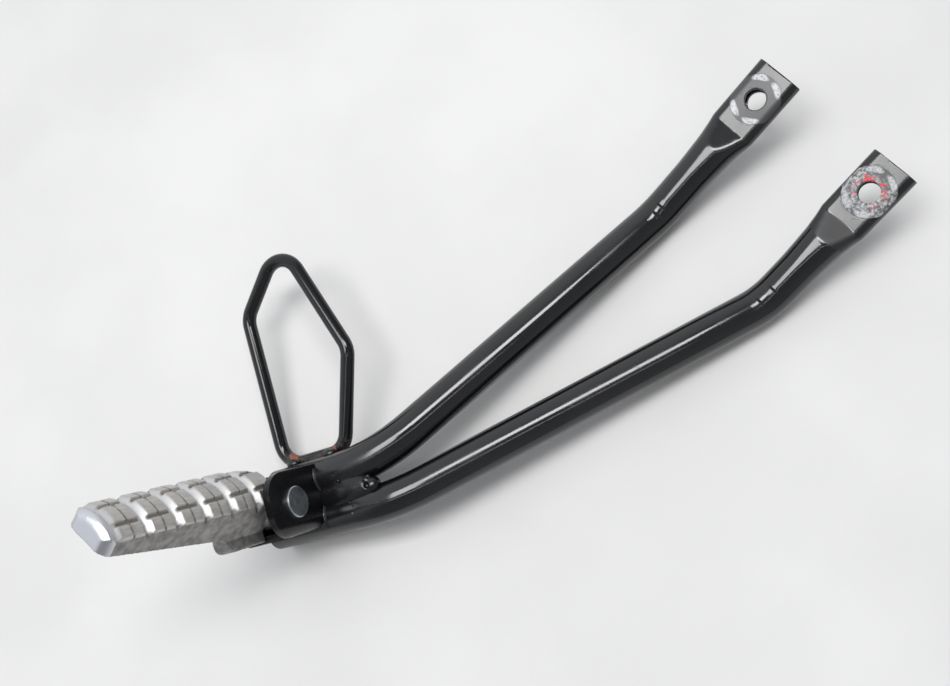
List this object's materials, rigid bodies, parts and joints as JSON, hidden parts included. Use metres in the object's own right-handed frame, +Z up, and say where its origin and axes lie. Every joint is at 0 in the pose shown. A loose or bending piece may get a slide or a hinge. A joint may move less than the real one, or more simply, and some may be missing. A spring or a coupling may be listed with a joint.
{
  "type": "passenger footpeg",
  "caption": "Folding cast passenger footpeg of a motorbike in a plate clevis, on a bracket of bent tubes with flattened bolted ends and a wire guard loop.",
  "frame": {"origin": "middle of the upper bolt hole, halfway through the flattened end", "axes": "+Z up as the part lies on a floor, +X level, from the peg towards the bolted ends, +Y level, from the peg towards the guard loop"},
  "size_m": [0.2881, 0.1981, 0.1226],
  "materials": {
    "black_paint": "worn satin",
    "cast_aluminium": "cast, tread polished by wear",
    "zinc_steel": "zinc plated"
  },
  "bodies": {
    "bracket": {"upper_tube": "black_paint", "lower_tube": "black_paint", "clevis": "black_paint", "guard_loop": "black_paint", "hinge_pin": "zinc_steel", "pin_washer": "zinc_steel", "split_pin": "zinc_steel", "clevis_upper_weld": "black_paint", "clevis_lower_weld": "black_paint", "tube_weld": "black_paint", "loop_left_weld": "black_paint", "loop_right_weld": "black_paint"},
    "peg": {"footpeg": "cast_aluminium", "detent_ball": "zinc_steel", "detent_spring": "zinc_steel"}
  },
  "joints": [
    {"name": "peg_fold", "type": "hinge", "parent": "bracket", "child": "peg", "pos_m": [-0.2008, -0.16115, 0.00742], "axis": [-0.9406, -0.1694, -0.2941], "range_deg": [0, 75]}
  ]
}
